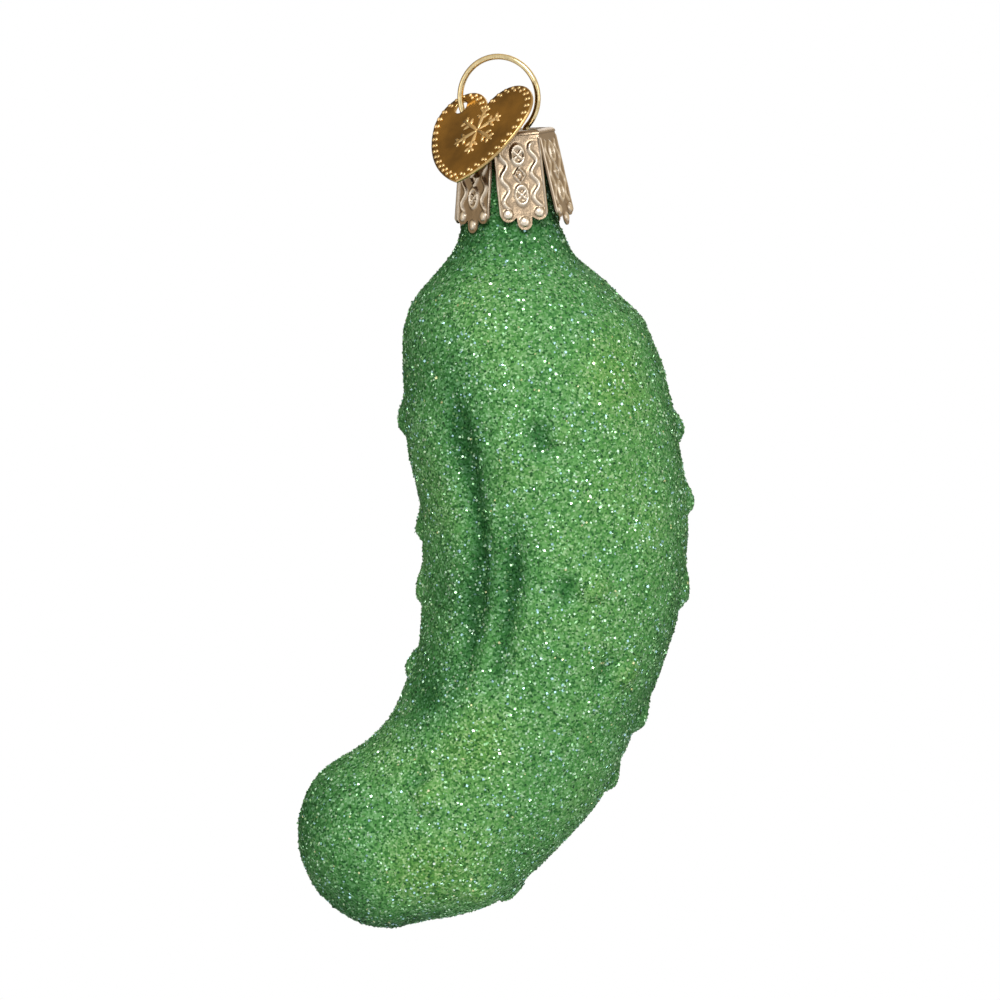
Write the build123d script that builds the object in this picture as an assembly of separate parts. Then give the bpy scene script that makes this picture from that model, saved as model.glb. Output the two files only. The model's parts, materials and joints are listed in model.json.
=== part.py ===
from build123d import *
import os
from math import acos, asin, atan2, cos, degrees, exp, hypot, radians, sin, tan

# Blown-glass pickle ornament, in millimetres.
# The origin is the hang point, inside the top of the wire loop, and +Z runs up along the neck.
# The viewer stands on the -Y side, and the pickle curls towards -X at its lower end.
FRONT = -90.0  # degrees from +X to the viewer's side

# Hanger wire
WIRE_D = 0.75
LOOP_R = 5.2  # to the middle of the wire
LOOP_TURN = 19.0  # degrees about the neck, with the right-hand side nearer the viewer
LEG_BEND_R = 0.9  # where the loop turns down into a leg
LEG_LENGTH = 6.5  # straight part of each leg, inside the neck
LEG_CURL_R = 1.3  # rounded-in ends of the legs
LEG_CURL_ANGLE = 60.0
LEG_CLEARANCE = 0.05  # from a leg to the bore of the neck

# Cap
SHEET = 0.3
CAP_SIDE = 6.2  # width of a flap, and of a side of the top
CAP_BEND_R = 0.6  # outside of the fold between the top and a flap
CAP_TURN = 10.0  # degrees that the front flap faces to the right
CAP_SHIFT = 0.75  # the loose cap has slid this far to the right on the neck
CAP_SEAT = 0.05  # from the top's underside to the lip of the neck
FLAP_LENGTH = 10.9  # from the fold to the side lobes
FLAP_FLARES = (9.0, 9.0, 8.5, 8.5, 9.5, 9.5)  # degrees, from the front flap towards the right
SLIT = 0.1
SIDE_LOBE_R = 1.05
SIDE_LOBE_PITCH = 2.0  # from the middle of the flap
LOBE_NOTCH = 0.45  # how far the notches between the lobes cut in
MID_LOBE_R = 0.95
MID_LOBE_DROP = 1.15  # how far the middle lobe hangs below the side lobes
WIRE_HOLE_D = 2.8

# Glass and its glitter skin
WALL = 0.9
COAT = 0.3
BOND_GAP = 0.1  # between the glass and its skin
COLLAR_R = 4.2  # bare glass at the lip
COLLAR_WALL = 0.65  # thinner than the body, so that the bore is straight
COLLAR_LENGTH = 3.0
NECK_STEP = 0.1  # the glass widens this much below the collar
BODY_DEPTH = 0.95  # front-to-back half width for each unit of sideways half width
# Middle line and half width of the body: sideways, below the lip, half width
BODY = (
    (0.0, 7.0, 5.2),
    (0.0, 11.0, 6.0),
    (0.0, 13.4, 6.8),
    (-0.5, 16.3, 8.6),
    (-0.5, 19.0, 11.3),
    (-0.1, 22.6, 14.0),
    (0.5, 27.5, 15.7),
    (1.5, 35.0, 17.0),
    (2.6, 45.0, 17.0),
    (2.2, 56.0, 16.7),
    (0.2, 64.0, 15.9),
    (-2.9, 71.6, 14.8),
    (-6.7, 78.3, 14.4),
    (-10.8, 82.8, 13.7),
    (-15.8, 86.7, 13.3),
    (-21.4, 88.5, 12.1),
)
NECK_STATIONS = 7  # the first stations of the body are round, as the neck is
DOME_ANGLES = (25.0, 48.0, 66.0, 79.0)  # rings of the round blossom end
TIP_HEADING = 70.0  # degrees that the blossom end has turned from straight down
SECTION_POINTS = 24
# Long hollows: run along the middle line, half length, angle round it, half width, depth.
# Angle 0 is the right-hand side, 90 faces the viewer and 180 is the inside of the curl.
HOLLOWS = (
    (47.0, 18.0, 118.0, 9.0, 1.3),
    (55.0, 11.0, 104.0, 6.0, 0.8),
)
# Warts: run along the middle line, angle round it
WART_R = 1.9
WART_HEIGHT = 0.9
WARTS = (
    (38.0, 2.0), (46.0, 0.0), (55.0, 4.0), (68.0, 6.0), (75.0, 0.0), (88.2, 2.0),
    (30.6, 180.0), (47.0, 180.0), (59.0, 177.0), (72.5, 181.0),
    (35.0, 88.0), (54.0, 74.0), (63.0, 51.0), (88.0, 106.0), (90.0, 40.0),
    (20.0, 215.0), (24.0, 310.0), (33.0, 245.0), (42.0, 292.0), (49.0, 250.0),
    (58.0, 315.0), (64.0, 228.0), (71.0, 280.0), (80.0, 238.0), (84.0, 302.0),
)

# Heart tag
TAG_SHEET = 0.5
TAG_WIDTH = 16.2
TAG_HEIGHT = 14.5
TAG_NOTCH = 12.1  # height of the notch above the tip
TAG_SHOULDER = 9.8  # height of the widest place above the tip
TAG_PEAK = 4.4  # from the middle to the top of a lobe
TAG_SIDE_BOW = (5.95, 4.5)  # a point on the curved lower side, from the tip
TAG_HOLE_D = 1.9
TAG_HOLE_OFF = 4.6  # from the middle, on the left lobe
TAG_HOLE_TOP = 2.1  # from the top of the lobe to the middle of the hole
TAG_ON_LOOP = 11.0  # degrees below the loop's left-hand side, where the tag hangs
TAG_FACING = -137.0  # degrees, the way the face points in plan
TAG_ROLL = 6.9  # degrees, the right lobe raised
TAG_REST = 0.15  # from the back of the tag to the corner of the cap that it leans on

# Places worked out from the sizes above
loop_z = WIRE_D / 2 - LOOP_R
bore_r = COLLAR_R - COLLAR_WALL
leg_x = bore_r - LEG_CLEARANCE - WIRE_D / 2
bend_angle = degrees(acos((leg_x + LEG_BEND_R) / (LOOP_R + LEG_BEND_R)))
leg_top = loop_z - (LOOP_R + LEG_BEND_R) * sin(radians(bend_angle))
cap_top = leg_top + SHEET
cap_sides = len(FLAP_FLARES)
side_turn = 360 / cap_sides
half_side_slope = tan(radians(side_turn / 2))
cap_flat = CAP_SIDE / (2 * half_side_slope) - CAP_BEND_R
lip_z = leg_top - CAP_SEAT
loop_side = Vector(cos(radians(LOOP_TURN)), -sin(radians(LOOP_TURN)), 0)
loop_face = Vector(-sin(radians(LOOP_TURN)), -cos(radians(LOOP_TURN)), 0)


def make_hanger_wire():
    """Spring wire: the loop, its two bends and the legs that press against the neck."""
    top = (0, loop_z + LOOP_R)
    loop = JernArc(start=top, tangent=(1, 0), radius=LOOP_R, arc_size=-(90 + bend_angle))
    bend = JernArc(start=loop @ 1, tangent=loop % 1, radius=LEG_BEND_R, arc_size=bend_angle)
    leg = Line(bend @ 1, bend @ 1 - Vector(0, LEG_LENGTH))
    curl = JernArc(start=leg @ 1, tangent=leg % 1, radius=LEG_CURL_R, arc_size=-LEG_CURL_ANGLE)
    half = [loop, bend, leg, curl]
    other_half = [edge.mirror(Plane.YZ) for edge in half]
    plane = Plane(origin=(0, 0, 0), x_dir=loop_side, z_dir=loop_face)
    path = plane * Wire(half + other_half)
    section = Plane(origin=path @ 0, z_dir=path % 0) * Circle(WIRE_D / 2)
    return sweep(section, path=path)


def cap_flap(flare):
    """One flap and its fold, on the +X side of a cap whose top is at the origin."""
    turn = radians(flare)
    fold_centre = (cap_flat, -CAP_BEND_R)
    outside = CenterArc(fold_centre, CAP_BEND_R, flare, 90 - flare)
    inside = CenterArc(fold_centre, CAP_BEND_R - SHEET, flare, 90 - flare)
    edges = [outside, inside, Line(outside @ 0, inside @ 0), Line(outside @ 1, inside @ 1)]
    fold = extrude(Plane.XZ * make_face(edges), amount=CAP_SIDE / 2, both=True)
    hinge = (cap_flat + CAP_BEND_R * cos(turn), 0, CAP_BEND_R * (sin(turn) - 1))
    plane = Plane(origin=hinge, x_dir=(0, 1, 0), z_dir=(cos(turn), 0, sin(turn)))
    lobe_y = SIDE_LOBE_R - FLAP_LENGTH
    outline = Pos(0, lobe_y / 2) * Rectangle(CAP_SIDE, -lobe_y)
    notch_y = LOBE_NOTCH - FLAP_LENGTH
    outline += Pos(0, notch_y / 2) * Rectangle(2 * SIDE_LOBE_PITCH, -notch_y)
    for side in (-1, 1):
        outline += Pos(side * SIDE_LOBE_PITCH, lobe_y) * Circle(SIDE_LOBE_R)
    outline += Pos(0, MID_LOBE_R - MID_LOBE_DROP - FLAP_LENGTH) * Circle(MID_LOBE_R)
    neck_of_lobe = MID_LOBE_DROP + SIDE_LOBE_R - MID_LOBE_R
    outline += Pos(0, lobe_y - neck_of_lobe / 2) * Rectangle(2 * MID_LOBE_R, neck_of_lobe)
    plate = extrude(plane * outline, amount=-SHEET)
    reach = 2 * CAP_SIDE
    spread = (reach - SLIT) * half_side_slope
    sector = Polyline((SLIT, 0), (reach, spread), (reach, -spread), close=True)
    depth = 2 * FLAP_LENGTH
    return (fold + plate) & extrude(Pos(0, 0, -depth) * make_face(sector), amount=2 * depth)


def make_cap():
    """Stamped cap: six-sided top with two wire holes, and six flaps folded down round the neck."""
    top = RegularPolygon(cap_flat, cap_sides, major_radius=False, rotation=side_turn / 2)
    cap = extrude(top, amount=-SHEET)
    for index, flare in enumerate(FLAP_FLARES):
        cap += Rot(0, 0, side_turn * index) * cap_flap(flare)
    cap = Pos(CAP_SHIFT, 0, cap_top) * Rot(0, 0, FRONT + CAP_TURN) * cap
    for side in (-1, 1):
        place = Vector(CAP_SHIFT, 0, cap_top) + loop_side * side * leg_x
        cap -= Pos(place) * Cylinder(WIRE_HOLE_D / 2, 4 * SHEET)
    return cap


# Stations of the body: place on the middle line, heading and half width
spine = [(0.0, COLLAR_LENGTH, COLLAR_R + NECK_STEP + COAT)] + list(BODY)
runs = [0.0]
for (x0, d0, _), (x1, d1, _) in zip(spine, spine[1:]):
    runs.append(runs[-1] + hypot(x1 - x0, d1 - d0))


def heading_at(index):
    """Turn of the middle line from straight down, in degrees, towards -X."""
    if index < NECK_STATIONS:
        return 0.0
    if index == len(spine) - 1:
        return TIP_HEADING
    x0, d0, _ = spine[index - 1]
    x1, d1, _ = spine[index + 1]
    return degrees(atan2(x0 - x1, d1 - d0))


def frame_at(x, below, heading):
    """Middle point, the direction across to the right, and the direction onward."""
    turn = radians(heading)
    centre = Vector(x, 0, lip_z - below)
    return centre, Vector(cos(turn), 0, -sin(turn)), Vector(-sin(turn), 0, -cos(turn))


def hollow_depth(run, angle):
    """How far the long hollows dip at a place on the body."""
    total = 0.0
    for middle, half_length, at_angle, half_width, depth in HOLLOWS:
        along = ((run - middle) / half_length) ** 4
        around = ((angle - at_angle) / half_width) ** 2
        total += depth * exp(-along - around)
    return total


def ring(centre, across, run, half_width, depth_ratio, inset):
    """One closed section of the body, drawn in by the inset."""
    points = []
    for index in range(SECTION_POINTS):
        angle = 360 * index / SECTION_POINTS
        dip = inset + hollow_depth(run, angle)
        side = (half_width - dip) * cos(radians(angle))
        front = (half_width * depth_ratio - dip) * sin(radians(angle))
        points.append(centre + across * side - Vector(0, front, 0))
    return make_face(Spline(points, periodic=True))


def skin(inset):
    """The body's outer form drawn in by the inset, from the end of the collar to the blossom end."""
    sections = []
    for index, (x, below, half_width) in enumerate(spine):
        ratio = 1.0 if index < NECK_STATIONS else BODY_DEPTH
        centre, across, onward = frame_at(x, below, heading_at(index))
        sections.append(ring(centre, across, runs[index], half_width, ratio, inset))
    end_r = spine[-1][2]
    for angle in DOME_ANGLES:
        rise = (end_r - inset) * sin(radians(angle))
        width = inset + (end_r - inset) * cos(radians(angle))
        sections.append(ring(centre + onward * rise, across, runs[-1] + rise, width, BODY_DEPTH, inset))
    return loft(sections)


def station_between(run):
    """Middle point, directions and half width at any run along the middle line."""
    index = max(i for i in range(len(runs) - 1) if runs[i] <= run)
    share = (run - runs[index]) / (runs[index + 1] - runs[index])
    near = [*spine[index], heading_at(index)]
    far = [*spine[index + 1], heading_at(index + 1)]
    x, below, half_width, heading = [a + (b - a) * share for a, b in zip(near, far)]
    return *frame_at(x, below, heading), half_width


def warts(inset):
    """Balls that stand out of the skin, drawn in by the same inset."""
    balls = []
    for run, angle in WARTS:
        centre, across, _, half_width = station_between(run)
        depth = half_width - hollow_depth(run, angle) - WART_R + WART_HEIGHT
        front = depth * BODY_DEPTH
        outward = across * depth * cos(radians(angle)) - Vector(0, front * sin(radians(angle)), 0)
        balls.append(Plane(origin=centre + outward, z_dir=outward) * Sphere(WART_R - inset))
    return balls


def make_glitter_coat():
    """Skin of lacquer and glitter over the glass, from below the collar to the blossom end."""
    lining = COAT - BOND_GAP
    return skin(0.0).fuse(*warts(0.0)) - skin(lining).fuse(*warts(lining))


def make_glass_shell():
    """Hollow blown pickle with an open neck, smooth inside."""
    collar_length = COLLAR_LENGTH + WALL
    collar = Pos(0, 0, lip_z - collar_length / 2) * Cylinder(COLLAR_R, collar_length)
    bore_length = LEG_LENGTH + LEG_CURL_R
    bore = Pos(0, 0, lip_z - bore_length / 2) * Cylinder(bore_r, bore_length)
    return skin(COAT).fuse(collar, *warts(COAT)) - skin(COAT + WALL) - bore


def tag_lean(hole, facing):
    """Tilt at which the tag, hung at its hole, leans on the front left corner of the cap."""
    corner_angle = radians(FRONT + CAP_TURN - side_turn / 2)
    corner_r = cap_flat / cos(radians(side_turn / 2))
    corner_x = CAP_SHIFT + corner_r * cos(corner_angle)
    corner_y = corner_r * sin(corner_angle)
    out = (corner_x - hole.X) * facing.X + (corner_y - hole.Y) * facing.Y
    down = hole.Z - (cap_top - CAP_BEND_R)
    stand_off = CAP_BEND_R + TAG_REST + TAG_SHEET / 2
    return atan2(down, out) - asin(stand_off / hypot(out, down))


def tag_plane():
    """Plane of the tag's middle, with its hole at the origin, where the loop passes through."""
    drop = radians(TAG_ON_LOOP)
    hole = loop_side * (-LOOP_R * cos(drop)) + Vector(0, 0, loop_z - LOOP_R * sin(drop))
    facing = Vector(cos(radians(TAG_FACING)), sin(radians(TAG_FACING)), 0)
    lean = tag_lean(hole, facing)
    roll = radians(TAG_ROLL)
    normal = facing * sin(lean) + Vector(0, 0, cos(lean))
    level = Vector(-facing.Y, facing.X, 0)
    uphill = normal.cross(level)
    return Plane(origin=hole, x_dir=level * cos(roll) + uphill * sin(roll), z_dir=normal)


def make_heart_tag():
    """Flat heart with a hole in its left lobe."""
    tip = (0, 0)
    shoulder = (TAG_WIDTH / 2, TAG_SHOULDER)
    notch = (0, TAG_NOTCH)
    side = ThreePointArc(tip, TAG_SIDE_BOW, shoulder)
    lobe = ThreePointArc(shoulder, (TAG_PEAK, TAG_HEIGHT), notch)
    halves = [side, lobe, side.mirror(Plane.YZ), lobe.mirror(Plane.YZ)]
    hole = (-TAG_HOLE_OFF, TAG_HEIGHT - TAG_HOLE_TOP)
    outline = make_face(halves) - Pos(*hole) * Circle(TAG_HOLE_D / 2)
    flat = Pos(-hole[0], -hole[1], -TAG_SHEET / 2) * extrude(outline, amount=TAG_SHEET)
    return tag_plane().location * flat


os.makedirs("parts", exist_ok=True)
nodes = {
    "glass_shell": make_glass_shell(),
    "glitter_coat": make_glitter_coat(),
    "cap": make_cap(),
    "hanger_wire": make_hanger_wire(),
    "heart_tag": make_heart_tag(),
}
for name, shape in nodes.items():
    export_step(shape, f"parts/{name}.step")
    print(name, "volume", round(shape.volume, 2))
lift_angle = radians(TAG_FACING)
print("tag hole", tag_plane().origin, "lift axis", (sin(lift_angle), -cos(lift_angle), 0))
print("cap top", round(cap_top, 3), "lip", round(lip_z, 3), "leg", round(leg_x, 3), "bore", round(bore_r, 3))
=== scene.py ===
import json
from math import atan2, cos, pi, radians, sin, tan

import bmesh
import bpy
import numpy as np
from bpy.props import FloatProperty, FloatVectorProperty, IntProperty, PointerProperty
from mathutils import Matrix, Vector, geometry, noise


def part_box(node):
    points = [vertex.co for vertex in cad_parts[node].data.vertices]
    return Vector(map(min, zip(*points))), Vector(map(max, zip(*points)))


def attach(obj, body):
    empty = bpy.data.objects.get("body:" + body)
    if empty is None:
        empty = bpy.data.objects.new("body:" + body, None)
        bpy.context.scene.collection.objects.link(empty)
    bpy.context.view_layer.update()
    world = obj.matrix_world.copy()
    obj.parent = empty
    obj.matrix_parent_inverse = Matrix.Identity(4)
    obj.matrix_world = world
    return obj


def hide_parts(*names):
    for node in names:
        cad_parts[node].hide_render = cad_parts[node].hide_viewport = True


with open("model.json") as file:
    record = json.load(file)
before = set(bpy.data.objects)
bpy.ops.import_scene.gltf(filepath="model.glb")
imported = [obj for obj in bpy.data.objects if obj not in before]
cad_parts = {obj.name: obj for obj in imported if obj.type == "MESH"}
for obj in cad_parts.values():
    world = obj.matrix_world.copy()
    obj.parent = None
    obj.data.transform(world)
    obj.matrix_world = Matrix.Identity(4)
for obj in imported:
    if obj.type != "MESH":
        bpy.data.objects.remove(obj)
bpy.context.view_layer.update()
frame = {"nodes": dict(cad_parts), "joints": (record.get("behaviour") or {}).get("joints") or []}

bl_info = {
    "name": "Pickle Ornament",
    "version": (1, 0, 0),
    "blender": (4, 5, 0),
    "location": "View3D > Sidebar > Ornament",
    "description": "Dresses a hanging glass pickle with glitter, a stamped cap and a heart tag",
    "category": "Object",
}

MM = 0.001
SLACK = 0.01  # millimetres, room for rounding
SAME_POINT = 1e-6  # millimetres, points nearer than this are one
BLACK = (0.0, 0.0, 0.0)
WHITE = (1.0, 1.0, 1.0)

# Places that the frame gives, in metres, and the joint of the tag
LIP_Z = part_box("glass_shell")[1].z
CAP_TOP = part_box("cap")[1].z
TAG_LIFT = next(joint for joint in frame["joints"] if joint["name"] == "tag_lift")

# Glass neck and body, in millimetres
COLLAR_R = 4.2
COLLAR_LENGTH = 3.0
BORE_R = 3.55
BORE_LENGTH = 7.8
WALL = 0.9
COAT = 0.3
NECK_R = 4.6  # the glitter skin at the end of the collar
# Rings of the open neck, from the bore over the rounded lip to the collar: radius, depth below the lip
NECK_RINGS = (
    (BORE_R, BORE_LENGTH),
    (BORE_R, 4.0),
    (BORE_R, 0.12),
    (BORE_R + 0.1, 0.02),
    (COLLAR_R - 0.12, 0.02),
    (COLLAR_R, 0.14),
    (COLLAR_R, 1.5),
    (COLLAR_R, COLLAR_LENGTH - 0.05),
)
GLASS_INSET = 0.32  # of the glass under the face of the skin, at the neck
GLASS_SINK = 0.6  # how much deeper the glass lies on the body
LINING_SINK = 0.25  # how much thicker the skin is on the body
SINK_RUN = (2.0, 14.0)  # the run over which the glass and the lining sink
BODY_DEPTH = 0.95  # front-to-back half width for each unit of sideways half width
# Middle line and half width of the body: sideways, below the lip, half width
BODY = (
    (0.0, 7.0, 5.2),
    (0.0, 11.0, 6.0),
    (0.0, 13.4, 6.8),
    (-0.5, 16.3, 8.6),
    (-0.5, 19.0, 11.3),
    (-0.1, 22.6, 14.0),
    (0.5, 27.5, 15.7),
    (1.5, 35.0, 17.0),
    (2.6, 45.0, 17.0),
    (2.2, 56.0, 16.7),
    (0.2, 64.0, 15.9),
    (-2.9, 71.6, 14.8),
    (-6.7, 78.3, 14.4),
    (-10.8, 82.8, 13.7),
    (-15.8, 86.7, 13.3),
    (-21.4, 88.5, 12.1),
)
NECK_STATIONS = 7  # the first stations, which are round and lie level
DOME_ANGLES = (25.0, 48.0, 66.0, 79.0, 90.0)  # rings of the round blossom end
TIP_HEADING = 70.0  # degrees that the blossom end has turned from straight down

# Form of the skin. A run is a length along the middle line, in millimetres. An angle round the body is
# in degrees: 0 is the right-hand side, 90 faces the viewer and 180 is the inside of the curl.
# Long hollows: run, half length, angle, half width in degrees, depth
HOLLOWS = (
    (48.0, 21.0, 125.0, 10.0, 0.7),
    (49.0, 20.0, 127.0, 5.2, 0.9),
    (57.0, 13.0, 109.0, 7.0, 0.5),
    (57.0, 12.0, 110.0, 4.6, 0.9),
)
# Dimples beside front warts, with the same values as a hollow
DIMPLES = (
    (35.3, 2.4, 92.0, 5.5, 1.1),
    (54.4, 2.0, 85.5, 5.0, 1.0),
    (63.3, 2.0, 57.5, 5.0, 0.9),
    (87.2, 2.0, 119.0, 5.5, 0.9),
)
# Warts: run, angle
WARTS = (
    (38.0, 2.0), (46.0, 0.0), (55.0, 4.0), (68.0, 6.0), (75.0, 0.0), (88.2, 2.0),
    (30.6, 180.0), (47.0, 180.0), (59.0, 177.0), (72.5, 181.0),
    (35.0, 80.0), (54.0, 74.0), (63.0, 46.0), (88.0, 106.0), (90.0, 40.0),
    (20.0, 215.0), (24.0, 310.0), (33.0, 245.0), (42.0, 292.0), (49.0, 250.0),
    (58.0, 315.0), (64.0, 228.0), (71.0, 280.0), (80.0, 238.0), (84.0, 302.0),
)
WART_SPREAD = (0.85, 1.15)  # least and greatest reach of a wart, as shares of the mean
WART_ABOVE = 1.4  # length of a wart up and down the body, as shares of its reach
WART_BELOW = 0.7
SPOT_POWER = 1.6  # how steeply a spot falls away
BROAD_LUMP = 9.0
SMALL_LUMP = 3.5
SMALL_SHARE = 0.5  # height of the small lumps beside the broad ones

# Paint of the skin with painted light and shade, from 0 for the darkest to 1 for the palest: level and
# changes. Much of it is painted light: raised lumps and warts paler as a painted highlight, and the sides,
# hollows, neck, tip and inner curl darker as painted shade.
PAINT_LEVEL = 0.5
# Stripe: the sides painted darker and the front and back paler, a painted shade of the sides that turn away
# from the frontal light
STRIPE_PAINT = 0.13
# Clouds: paler where the broad lumps stand out, partly uneven paint and partly a painted highlight
CLOUD_PAINT = 0.26
# Warts: paler, a painted highlight of their lit tops
WART_PAINT = 0.26
# Hollows and dimples: darker, partly darker paint and partly their painted shade
HOLLOW_PAINT = 0.44  # for each millimetre of depth
# Neck: darker next to the cap, partly darker paint and partly painted shade under the cap
NECK_PAINT = 0.36
# Blossom end: darker, a painted shade of its underside
TIP_PAINT = 0.27
# Right-hand side: darker, a painted shade of the side turned away from the light
RIGHT_PAINT = 0.17
# Upper left side: darker, partly a dark sprayed stripe and partly painted shade
UPPER_LEFT_PAINT = 0.14
# Inner curl: darker, a painted shade of the hollow curve
VALLEY_PAINT = 0.13
PALE_STRIPE = 85.0  # angle of the middle of the paler stripe, front and back
# Where the paint and its painted light and shade change softly, each from its start to its end
FADE_RUN = (6.0, 24.0)  # the lumps, the stripe and the clouds begin here
NECK_RUN = (9.0, 18.0)
TIP_RUN = (90.0, 105.0)
UPPER_RUN = (30.0, 40.0)
VALLEY_RUNS = ((48.0, 60.0), (80.0, 89.0))
LEFT_ANGLES = ((108.0, 128.0), (220.0, 245.0))
RIGHT_ANGLE = (14.0, 42.0)
# Patches painted paler or darker: run, angle, change of the paint. They are partly uneven paint and partly
# painted light and shade, such as the paler underside of the blossom end at run 93.
SPRAY_REACH = 8.5
SPRAY_STRETCH = 1.2
SPRAY_PATCHES = (
    (30.0, 42.0, 0.44), (39.0, 150.0, 0.24), (43.0, 56.0, 0.28), (81.0, 112.0, 0.28),
    (93.0, 66.0, 0.36), (93.0, 158.0, 0.2), (16.0, 118.0, 0.2), (57.0, 93.0, -0.16),
    (67.0, 84.0, -0.16), (75.0, 150.0, -0.2), (31.0, 262.0, 0.2), (47.0, 300.0, 0.2),
    (62.0, 250.0, 0.2), (78.0, 285.0, 0.2), (55.0, 265.0, -0.16),
)

# Grids of the body
SKIN_ROWS = 324
SKIN_AROUND = 260
SKIN_SEED = 3
LINING_ROWS = 34
DIMPLE_ROWS = 5  # more rows of the lining at each dimple
GLASS_ROWS = 110
GLASS_AROUND = 96

# Flakes: share of the flakes and colour
CLEAR_COLOURS = (
    (0.44, (0.44, 0.84, 0.42)),
    (0.37, (0.68, 1.00, 0.70)),
    (0.17, (0.58, 0.94, 1.00)),
    (0.02, (0.92, 0.95, 0.50)),
)
GREEN_COLOURS = (
    (0.30, (0.036, 0.140, 0.042)),
    (0.42, (0.090, 0.290, 0.080)),
    (0.28, (0.250, 0.540, 0.190)),
)
FLAKE_SHEEN = (0.55, 1.0, 0.66)  # tint of what a flake reflects
FLAKE_HALF_THICKNESS = 0.03
FLAKE_LIFT = 0.07  # greatest height of a flake's middle over the skin
FLAKE_SPREAD = (0.72, 1.3)  # least and greatest width, as shares of the mean
FLAKE_SHADES = (0.7, 1.12)  # least and greatest brightness of a flake's colour
# The flakes are dimmed by the painted shade of the skin under them and brightened by its painted light
FLAKE_PAINT = (0.7, 0.5)  # brightness on the darkest paint, and what the palest adds
LEAN_STEPS = 1.6  # standard steps of the lean that make up the tilt
FLAKE_CORNERS = (
    (-1, -1, -1), (1, -1, -1), (1, 1, -1), (-1, 1, -1),
    (-1, -1, 1), (1, -1, 1), (1, 1, 1), (-1, 1, 1),
)
FLAKE_SIDES = (
    (0, 3, 2, 1), (4, 5, 6, 7), (0, 1, 5, 4), (1, 2, 6, 5), (2, 3, 7, 6), (3, 0, 4, 7),
)

# Cap, in millimetres
SHEET = 0.3
CAP_SIDE = 6.2
CAP_BEND_R = 0.6
CAP_TURN = 10.0  # degrees that the front flap faces to the right
CAP_SHIFT = 0.75
FRONT = -90.0  # degrees from +X to the viewer's side
FLAP_LENGTH = 10.9
FLAP_FLARES = (9.0, 9.0, 8.5, 8.5, 9.5, 9.5)  # degrees, from the front flap towards the right
SLIT = 0.1
SIDE_LOBE_R = 1.05
SIDE_LOBE_PITCH = 2.0
LOBE_NOTCH = 0.45
MID_LOBE_R = 0.95
MID_LOBE_DROP = 1.15
WIRE_HOLE_R = 1.4
LEG_X = 3.125  # from the middle of the loop to a leg
LOOP_TURN = 19.0  # degrees that the loop has turned about the neck
CAP_FLAT = CAP_SIDE / (2 * tan(pi / len(FLAP_FLARES))) - CAP_BEND_R
CAP_CROWN = 0.07  # how far the top sinks towards its edge
DENT = 0.03
DENT_SIZE = 1.3
DENTS_APART = 6.5  # along the noise, from one flap's dents to the next one's
INSIDE_RUBBED = 0.2  # how bright the metal is inside, where it has no ornament
TOP_RUBBED = 0.35
FLAP_COLUMNS = 57
FOLD_ROWS = 7
FLAP_ROWS = 104
TOP_STEP = 0.32  # between points of the top
TOP_STEPS = 16
TOP_EDGE_CLEAR = 0.2  # from the edge of the top to those points
TOP_HOLE_CLEAR = 0.15  # from a hole to those points
SIDE_STEPS = 12
HOLE_STEPS = 40

# Ornament stamped on a flap: places across and down it, in millimetres
FIELD = ((0.7, 1.3), (8.9, 9.5))  # soft upper and lower end of the vines
RIM_INSET = 0.14
RIM_WIDTH = 0.13
RIM_HEIGHT = 0.6
RIM_START = (0.2, 0.6)
VINE_ACROSS = 1.95
VINE_STARTS = ((-1, 1.7), (1, 0.6))  # side, and how far its wave has run at the top
VINE_PERIOD = 3.1
VINE_SWING = 0.4
VINE_WIDTH = 0.25
ROSETTES = (2.5, 7.6)  # down the flap
ROSETTE_OVAL = (0.78, 1.15)
ROSETTE_LINE = 0.24
BOSS_HEIGHT = 0.9
PETAL_TURNS = (45.0, 135.0, 225.0, 315.0)
PETAL_OUT = 0.48
PETAL_R = 0.26
PETAL_SHAPE = (1.3, 0.8)  # length and width, as shares of the radius
PETAL_HEIGHT = 0.8
LOZENGE_DOWN = 5.05
LOZENGE_SIZE = (0.85, 1.15)
LOZENGE_RING = 0.85  # share of its size where the raised line runs
LOZENGE_LINE = 0.2
LOZENGE_HEIGHT = 0.95
SEED_R = 0.28
SEED_LENGTH = 1.4
SEED_HEIGHT = 0.8
LOBE_BEADS = ((-SIDE_LOBE_PITCH, 9.9), (SIDE_LOBE_PITCH, 9.9), (0.0, 11.0))
LOBE_BEAD_R = 0.64
LOBE_BEAD_HEIGHT = 1.3

# Heart tag, in millimetres, from the tip of the heart
TAG_SHEET = 0.5
TAG_EDGE_R = 0.15
EDGE_RUBBED = 0.85  # how pale the gold is on the rounded edge
TAG_WIDTH = 16.2
TAG_HEIGHT = 14.5
TAG_NOTCH = 12.1
TAG_SHOULDER = 9.8
TAG_PEAK = 4.4
TAG_SIDE_BOW = (5.95, 4.5)
TAG_HOLE = (-4.6, 12.4)
TAG_HOLE_R = 0.95
TAG_ROLL = 6.9  # degrees, the right lobe raised
BEAD_ROWS = ((0.44, 0.0), (0.84, 0.5))  # inset of a row, and how many pitches on it starts
BEAD_PITCH = 1.12
BEAD_CLEAR = 0.45  # from the hole to a bead's middle
BEAD_RISE = 0.8  # height of a bead for its half width
STAR_ARMS = 6
STAR_MIDDLE = (0.25, 8.0)
STAR_R = 3.7
STAR_ARM = (0.52, 0.5)  # middle and half length of an arm, as shares of the radius
STAR_TWIGS = ((0.5, 0.62), (0.78, 0.5))  # share of the radius, half length
STAR_TWIG_OUT = 0.9  # from the arm to the middle of a twig, as a share of its half length
STAR_ARM_WIDTH = 0.34
STAR_TWIG_WIDTH = 0.27
STAR_RISE = 0.24
COARSE_ARC = 44  # points on an arc of the outline
FINE_ARC = 120
TAG_HOLE_STEPS = 48
TAG_EDGE_ANGLES = (20.0, 45.0, 70.0, 90.0)  # rings of the rounded edge
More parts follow.
